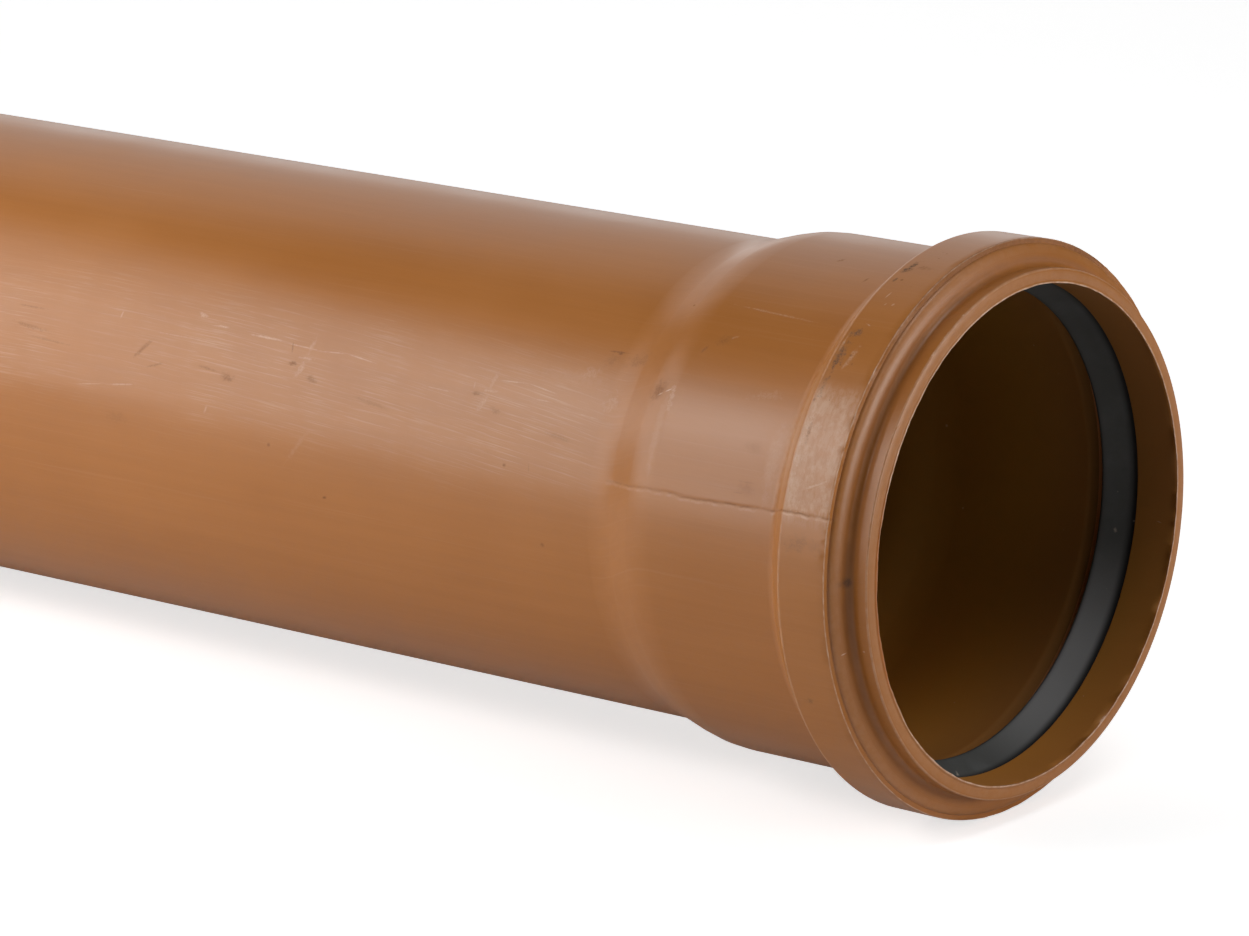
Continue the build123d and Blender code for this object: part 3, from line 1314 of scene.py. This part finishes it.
@dataclass
class Pipe:
    """The extruded pipe with its formed socket.

    Attributes:
        sizes: The shared sizes.
        form: Geometry Nodes that turn its section.
        finish: Its material.
        steps: Steps round the axis.
        seed: Seed of its irregularities.
        flare_rounding: Rounding at both ends of the flare, in millimetres.
        valley_rounding: Rounding of the valley between lip and hump, in millimetres.
        valley_turn: Turn of the hump's ellipse at which the valley ends, in radians.
        hump_steps: Steps over the hump.
        lip_step: Longest distance between two points on the lip, in millimetres.
        fine: Longest distance between two points along the moulding seam, in millimetres.
    """

    sizes: PipeSizes
    form: TurnedForm
    finish: bpy.types.Material
    steps: int = 460
    seed: float = 4.0
    flare_rounding: float = 24.0
    valley_rounding: float = 1.4
    valley_turn: float = 0.3
    hump_steps: int = 14
    lip_step: float = 1.0
    fine: float = 2.2

    def outside(self) -> list[Corner]:
        """Corners of the outside, from the mouth to the spigot's end.

        Returns:
            The corners.
        """
        s, fine, lip_step = self.sizes, self.fine, self.lip_step
        bore, lip, front = s.socket_bore_radius, s.socket_bore_radius + s.lip_wall, s.bead_front
        flare_end = s.flare_start + along_slope(s.socket_radius - s.barrel_radius, s.flare_angle)
        chamfer_drop = s.chamfer_length * tan(radians(s.chamfer_angle))
        return [
            # The trimmed edge of the mouth, the lip's hollow face and the lip's outside.
            Corner(0.04, bore + 0.02, 0.08, wear=1.0, burr=1.0),
            Corner(0.10, bore + 0.30, 0.06, wear=0.8, burr=0.8),
            Corner(0.42, bore + 0.70, 0.3, wear=0.08, step=lip_step),
            Corner(0.24, bore + 1.7, 4.2, wear=0.08, step=lip_step),
            Corner(s.lip_lean - 0.1, lip + 0.05, 0.35, wear=0.3, step=lip_step),
            Corner(s.lip_length - 2.6, lip - 0.08, 4.0, step=lip_step),
            Corner(s.lip_length, lip - 0.45, self.valley_rounding),
            *self.hump(s.lip_length, lip - 0.2, front - 0.04, s.bead_radius - s.band_step),
            # The band, the flank behind it, the socket and the flare.
            Corner(front + 0.02, s.bead_radius, 0.12, wear=0.7, flash=1.0, seam=1.0, step=fine),
            Corner(s.band_back, s.bead_radius - s.band_taper, 1.0, wear=0.22, seam=1.0, step=fine),
            Corner(s.flank(s.socket_radius), s.socket_radius, 3.5, seam=0.85, step=fine),
            Corner(s.flare_start, s.socket_radius, self.flare_rounding, seam=0.6, step=fine),
            Corner(flare_end, s.barrel_radius, self.flare_rounding),
            Corner(s.overall_length - s.chamfer_length, s.barrel_radius, 0.3, wear=0.3),
            Corner(s.overall_length, s.barrel_radius - chamfer_drop, 0.25, wear=0.4),
        ]

    def hump(self, root: float, low: float, foot: float, high: float) -> list[Corner]:
        """Corners of the hump between the lip and the band's step, a quarter of an ellipse.

        Args:
            root: Station of the lip's root.
            low: Radius at which the hump starts.
            foot: Station of the step's foot.
            high: Radius of the step's foot.

        Returns:
            The corners.
        """
        swing = (pi / 2 - self.valley_turn) / self.hump_steps
        turns = [self.valley_turn + swing * n for n in range(self.hump_steps + 1)]
        # The wear that grows towards the hump's top is partly real wear and partly a painted
        # highlight.
        return [Corner(foot - (foot - root) * cos(t), low + (high - low) * sin(t), 0.0,
                       wear=0.1 * sin(t)) for t in turns]

    def inside(self) -> list[Corner]:
        """Corners of the inside, from the spigot's end back to the mouth.

        Returns:
            The corners.
        """
        s = self.sizes
        bore = s.barrel_radius - s.barrel_wall
        flare_end = s.flare_start + along_slope(s.socket_bore_radius - bore, s.flare_angle)
        return [
            Corner(s.overall_length, bore, 0.25, wear=0.3),
            Corner(flare_end, bore, self.flare_rounding),
            Corner(s.flare_start, s.socket_bore_radius, self.flare_rounding),
            Corner(s.groove_flank(s.socket_bore_radius), s.socket_bore_radius, 1.5),
            Corner(s.groove_flank(s.groove_radius), s.groove_radius, 0.5),
            Corner(s.land_length, s.groove_radius, 0.5),
            Corner(s.land_length, s.socket_bore_radius, 0.12, seam=0.35, step=self.fine),
        ]

    def build(self) -> bpy.types.Object:
        """Turns the section and puts the piece in the frame.

        Returns:
            The piece.
        """
        section = Section(self.outside() + self.inside())
        piece = self.form.turn(section, "pipe_wall", self.steps, self.seed, self.finish)
        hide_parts("pipe")
        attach(piece, "root")
        return piece


@dataclass
class Seal:
    """The rubber seal in the groove of the bead.

    Attributes:
        sizes: The shared sizes.
        form: Geometry Nodes that turn its section.
        finish: Its material.
        steps: Steps round the axis.
        seed: Seed of its irregularities.
        gap: Its distance from the groove, in millimetres.
        foot_height: Height of its front foot above the socket's bore, in millimetres.
        lip_thickness: Thickness of its lip, in millimetres.
        lip_reach: How far back the lip reaches, in millimetres.
        squeeze: How far the lip's tip stands inside the barrel's radius, in millimetres.
        fold_depth: Depth of the fold behind the lip, in millimetres.
        tip_slant: Slant of the lip's tip, in millimetres.
        corner: Rounding of its body's corners, in millimetres.
        soft_step: Longest distance between two points on its lip, in millimetres.
    """

    sizes: PipeSizes
    form: TurnedForm
    finish: bpy.types.Material
    steps: int = 480
    seed: float = 9.0
    gap: float = 0.3
    foot_height: float = 1.0
    lip_thickness: float = 1.7
    lip_reach: float = 8.2
    squeeze: float = 2.2
    fold_depth: float = 4.3
    tip_slant: float = 0.35
    corner: float = 0.5
    soft_step: float = 1.5

    def corners(self) -> list[Corner]:
        """Corners of the seal's section.

        Returns:
            The corners.
        """
        s = self.sizes
        front = s.land_length + self.gap
        body = s.groove_radius - self.gap
        gap_along = self.gap / sin(radians(s.flank_angle))
        foot = s.socket_bore_radius + self.foot_height
        heel = foot + self.lip_thickness
        tip = front + self.lip_reach
        tip_radius = s.barrel_radius - self.squeeze
        return [
            Corner(front, foot, 0.7, step=self.soft_step),
            Corner(front, body, self.corner),
            Corner(s.groove_flank(body) - gap_along, body, self.corner),
            Corner(s.groove_flank(heel) - gap_along, heel, self.corner),
            Corner(front + self.fold_depth, heel, 0.4),
            Corner(tip, tip_radius + self.lip_thickness, 0.6),
            Corner(tip - self.tip_slant, tip_radius, 0.6, step=self.soft_step),
        ]

    def build(self) -> bpy.types.Object:
        """Turns the section and puts the piece in the frame.

        Returns:
            The piece.
        """
        section = Section(self.corners())
        piece = self.form.turn(section, "rubber_seal", self.steps, self.seed, self.finish)
        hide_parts("seal_ring")
        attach(piece, "root")
        return piece


@dataclass(frozen=True)
class Lamp:
    """A soft lamp that faces the object. Its defaults suit the lamps on the camera's side.

    Attributes:
        name: Its name.
        azimuth: Direction from the object to the lamp, from +X towards +Y, in degrees.
        elevation: Its height above the horizon, in degrees.
        power: Power, in watts.
        distance: Distance from the point that it faces, in metres.
        width: Width, in metres.
        height: Height, in metres.
        aim: Place along X of the point that it faces, in metres.
        aim_height: Height of that point, in metres.
    """

    name: str
    azimuth: float
    elevation: float
    power: float
    distance: float = 0.72
    width: float = 0.26
    height: float = 0.20
    aim: float = 0.13
    aim_height: float = 0.06

    def hang(self) -> None:
        """Makes the lamp and points it at its aim."""
        data = bpy.data.lights.new(self.name, "AREA")
        data.shape = "RECTANGLE"
        data.size, data.size_y, data.energy = self.width, self.height, self.power
        turn, lift = radians(self.azimuth), radians(self.elevation)
        towards = Vector((cos(turn) * cos(lift), sin(turn) * cos(lift), sin(lift)))
        lamp = new_object(self.name, data)
        lamp.location = Vector((self.aim, 0.0, self.aim_height)) + towards * self.distance
        lamp.rotation_euler = towards.to_track_quat("Z", "Y").to_euler()


@dataclass
class Studio:
    """Floor, surroundings, lamps and the camera at the photograph's viewing angle.

    Attributes:
        axis: The pipe's axis.
        image_width: Width of the photograph, in pixels.
        sensor: Width of the camera's sensor, in millimetres.
        focal_pixels: Focal length, in pixels of the photograph.
        azimuth: Turn of the camera about Z, in degrees.
        elevation: How far the camera looks down, in degrees.
        mouth_in_view: Centre of the mouth in the camera's own axes, in millimetres.
        far_limit: How far the camera sees, in metres.
        bright_side: Direction of the pale wall.
        wall_light: Strength of its light.
        wall_reach: How far from its middle, as a cosine, the wall's light fades.
        floor_reach: Half the floor's width, in metres.
        floor_colour: Colour of the floor.
        floor_roughness: Its roughness.
        floor_gloss: Strength of its reflections.
        floor_lift: Its own light towards the camera.
        lamps: The lamps.
    """

    axis: Axis
    image_width: int = 1249
    sensor: float = 36.0
    focal_pixels: float = 6589.4
    azimuth: float = 39.421
    elevation: float = 15.058
    mouth_in_view: tuple[float, float, float] = (88.847, -14.715, -1436.318)
    far_limit: float = 60.0
    bright_side: tuple[float, float, float] = (-0.75, 0.6, 0.25)
    wall_light: float = 0.02
    wall_reach: float = 0.6
    floor_reach: float = 12.0
    floor_colour: Colour = (0.8, 0.8, 0.8, 1.0)
    floor_roughness: float = 0.9
    floor_gloss: float = 0.1
    floor_lift: float = 0.66
    lamps: tuple[Lamp, ...] = (
        Lamp("main_top_left", 205, 36, 0.29),
        Lamp("main_top_middle", 226, 36, 0.39),
        Lamp("main_top_right", 247, 36, 1.20),
        Lamp("main_left", 205, 20, 0.52),
        Lamp("main_middle", 226, 20, 0.515),
        Lamp("main_right", 247, 20, 0.433),
        Lamp("main_low_middle", 226, 6, 0.442, height=0.14),
        Lamp("main_low_right", 247, 6, 0.468, height=0.14),
        Lamp("mouth_low", 18.4, 7.2, 7.29, 1.4, 1.0, 0.35, 0.25),
        Lamp("mouth_high", 33.7, 31.4, 2.2, 1.5, 0.9, 0.9, 0.25),
        Lamp("mouth_right", -25, 38, 0.754, 1.1, 0.45, 0.40, 0.27),
        Lamp("mouth_top", 20, 70, 2.8, 1.1, 0.45, 0.45, 0.27),
        Lamp("back_low", 128, 7.5, 3.93, 1.8, 2.0, 0.45, -0.10),
        Lamp("back_middle", 133, 26, 1.45, 1.5, 1.4, 0.40, 0.0),
        Lamp("back_top", 140, 42, 1.22, 1.5, 1.2, 0.40, 0.0),
        Lamp("back_high", 125, 62, 0.70, 1.5, 0.9, 0.50, 0.0),
    )

    def build(self) -> None:
        """Builds the whole studio."""
        bpy.context.scene.view_settings.view_transform = "Standard"
        self._camera()
        self._floor()
        self._world()
        for lamp in self.lamps:
            lamp.hang()

    def _camera(self) -> None:
        """Places the camera so that the mouth's centre falls where the photograph shows it."""
        data = bpy.data.cameras.new("camera")
        data.sensor_width = self.sensor
        data.lens = self.focal_pixels / self.image_width * self.sensor
        data.clip_end = self.far_limit
        camera = new_object("camera", data)
        turned = Matrix.Rotation(radians(self.azimuth), 3, "Z")
        turned = turned @ Matrix.Rotation(radians(90 - self.elevation), 3, "X")
        offset = turned @ (Vector(self.mouth_in_view) * MM)
        camera.matrix_world = Matrix.Translation(self.axis.mouth - offset) @ turned.to_4x4()
        bpy.context.scene.camera = camera

    def _floor(self) -> None:
        """Lays a plain pale floor that keeps the object's shadow."""
        mesh = bpy.data.meshes.new("floor")
        corners = ((-1, -1), (1, -1), (1, 1), (-1, 1))
        reach = self.floor_reach
        mesh.from_pydata([(x * reach, y * reach, 0) for x, y in corners], [], [(0, 1, 2, 3)])
        material, sheet, surface = new_material("pale_floor")
        surface["Base Color"].default_value = self.floor_colour
        surface["Roughness"].default_value = self.floor_roughness
        surface["Specular IOR Level"].default_value = self.floor_gloss
        surface["Emission Color"].default_value = WHITE
        sheet.feed(surface["Emission Strength"], sheet.seen_directly() * self.floor_lift)
        mesh.materials.append(material)
        floor = new_object("floor", mesh)

    def _world(self) -> None:
        """Makes the surroundings: white where the camera looks, with a pale wall on one side."""
        world = bpy.data.worlds.new("surroundings")
        world.use_nodes = True
        sheet = Sheet(world.node_tree)
        background = sheet.tree.nodes["Background"].inputs
        background["Color"].default_value = WHITE
        looking = sheet.out("ShaderNodeTexCoord", output="Generated")
        towards_wall = tuple(Vector(self.bright_side).normalized())
        facing = sheet.out("ShaderNodeVectorMath", (looking, towards_wall), "Value",
                           operation="DOT_PRODUCT")
        wall = sheet.ramp(facing, -self.wall_reach, self.wall_reach, 0.0, self.wall_light)
        sheet.feed(background["Strength"], sheet.most(sheet.seen_directly(), wall))
        bpy.context.scene.world = world


def main() -> None:
    """Builds the pipe, its seal and the studio, and reports each piece."""
    logging.basicConfig(level=logging.INFO, format="%(name)s: %(message)s")
    record = frame["record"]
    axis = Axis.from_frame(record)
    sizes = PipeSizes.from_frame(record)
    effects = Effects(axis)
    form = TurnedForm(axis)
    pipe = Pipe(sizes, form, OrangePlastic().make(effects))
    seal = Seal(sizes, form, BlackRubber().make(effects))
    Studio(axis).build()
    for part in (pipe, seal):
        piece = part.build()
        log.info("%s: %d faces", piece.name, len(piece.data.polygons))
    bpy.context.view_layer.update()


if __name__ == "__main__":
    main()
